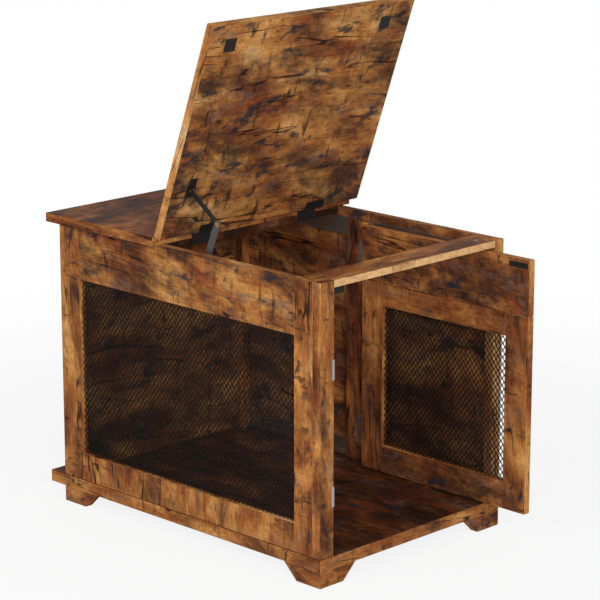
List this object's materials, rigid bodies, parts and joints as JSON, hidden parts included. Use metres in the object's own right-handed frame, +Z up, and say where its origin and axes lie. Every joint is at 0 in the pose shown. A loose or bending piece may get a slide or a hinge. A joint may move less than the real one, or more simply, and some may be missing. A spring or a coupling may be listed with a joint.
{
  "type": "dog crate end table",
  "caption": "End-table dog crate: board carcass with mesh window, lift-up lid on a folding stay, and a sliding, swinging framed mesh door.",
  "frame": {"origin": "centre of the bounding box's bottom, on the floor, as the table stands with lid open and door pushed back", "axes": "+X out of the door end, -Y out of the mesh window, +Z up"},
  "size_m": [0.8792, 0.544, 1.0275],
  "materials": {
    "rustic_board": "rustic brown wood-look faced board, satin",
    "black_mesh": "black powder coat on expanded metal",
    "black_steel": "black painted pressed steel",
    "bright_steel": "bright zinc-plated strip steel",
    "zinc_steel": "zinc-plated steel",
    "brass": "brass-plated rivet",
    "black_plastic": "black moulded plastic catch body",
    "magnet": "nickel-plated magnet"
  },
  "bodies": {
    "carcass": {"back_panel": "rustic_board", "base_board": "rustic_board", "base_screws": "zinc_steel", "carcass_screws": "black_steel", "channel_lower": "bright_steel", "channel_upper": "bright_steel", "corner_batten_far": "rustic_board", "corner_batten_near": "rustic_board", "cross_rail": "rustic_board", "door_catch": "black_plastic", "far_front_post": "rustic_board", "far_panel": "rustic_board", "foot_back_far": "rustic_board", "foot_back_near": "rustic_board", "foot_front_far": "rustic_board", "foot_front_near": "rustic_board", "front_rail": "rustic_board", "lid_hinge_fixed_leaf_far": "black_steel", "lid_hinge_fixed_leaf_near": "black_steel", "lid_hinge_pins": "black_steel", "lid_magnets": "magnet", "near_back_stile": "rustic_board", "near_bottom_rail": "rustic_board", "near_front_post": "rustic_board", "near_front_stile": "rustic_board", "near_mesh": "black_mesh", "near_top_rail": "rustic_board", "stay_wall_bracket": "bright_steel", "stay_wall_rivet": "brass", "strike_plates": "bright_steel", "top_fixed": "rustic_board"},
    "lid": {"lid_board": "rustic_board", "lid_catch_plate_near": "black_steel", "lid_catch_plate_far": "black_steel", "lid_hinge_lid_leaf_near": "black_steel", "lid_hinge_lid_leaf_far": "black_steel", "lid_screws": "black_steel", "stay_lid_bracket": "black_steel", "stay_lid_rivet": "brass"},
    "stay_lower": {"stay_lower_arm": "bright_steel", "stay_elbow_rivet": "brass"},
    "stay_upper": {"stay_upper_arm": "black_steel"},
    "carriage": {"carriage_strip": "rustic_board", "slide_bar_lower": "bright_steel", "slide_bar_upper": "bright_steel", "door_hinge_carriage_leaf_lower": "zinc_steel", "door_hinge_carriage_leaf_upper": "zinc_steel", "door_hinge_pins": "zinc_steel", "carriage_screws": "zinc_steel"},
    "door": {"door_hinge_stile": "rustic_board", "door_free_stile": "rustic_board", "door_top_rail": "rustic_board", "door_mid_rail": "rustic_board", "door_bottom_rail": "rustic_board", "door_mesh": "black_mesh", "door_catch_plate": "black_steel", "door_hinge_door_leaf_lower": "zinc_steel", "door_hinge_door_leaf_upper": "zinc_steel", "door_hinge_screws": "zinc_steel"}
  },
  "joints": [
    {"name": "lid_hinge", "type": "hinge", "parent": "carcass", "child": "lid", "pos_m": [-0.0968, 0, 0.6036], "axis": [0, 1, 0], "range_deg": [0, 70]},
    {"name": "door_slide", "type": "slide", "parent": "carcass", "child": "carriage", "axis": [1, 0, 0], "range_m": [-0.1087, 0.3272]},
    {"name": "door_swing", "type": "hinge", "parent": "carriage", "child": "door", "pos_m": [0.0037, 0.2199, 0], "axis": [0, 0, -1], "range_deg": [0, 90]},
    {"name": "stay_lower_pivot", "type": "hinge", "parent": "carcass", "child": "stay_lower", "pos_m": [0.0082, -0.23825, 0.5596], "axis": [0, 1, 0], "range_deg": [0, 85.03]},
    {"name": "stay_upper_pivot", "type": "hinge", "parent": "lid", "child": "stay_upper", "pos_m": [-0.03183, -0.23825, 0.69701], "axis": [0, -1, 0], "range_deg": [0, 77.98]}
  ],
  "couplings": [
    {"joint": "stay_lower_pivot", "follows": "lid_hinge", "ratio": 1.2147},
    {"joint": "stay_upper_pivot", "follows": "lid_hinge", "ratio": 1.1139}
  ]
}
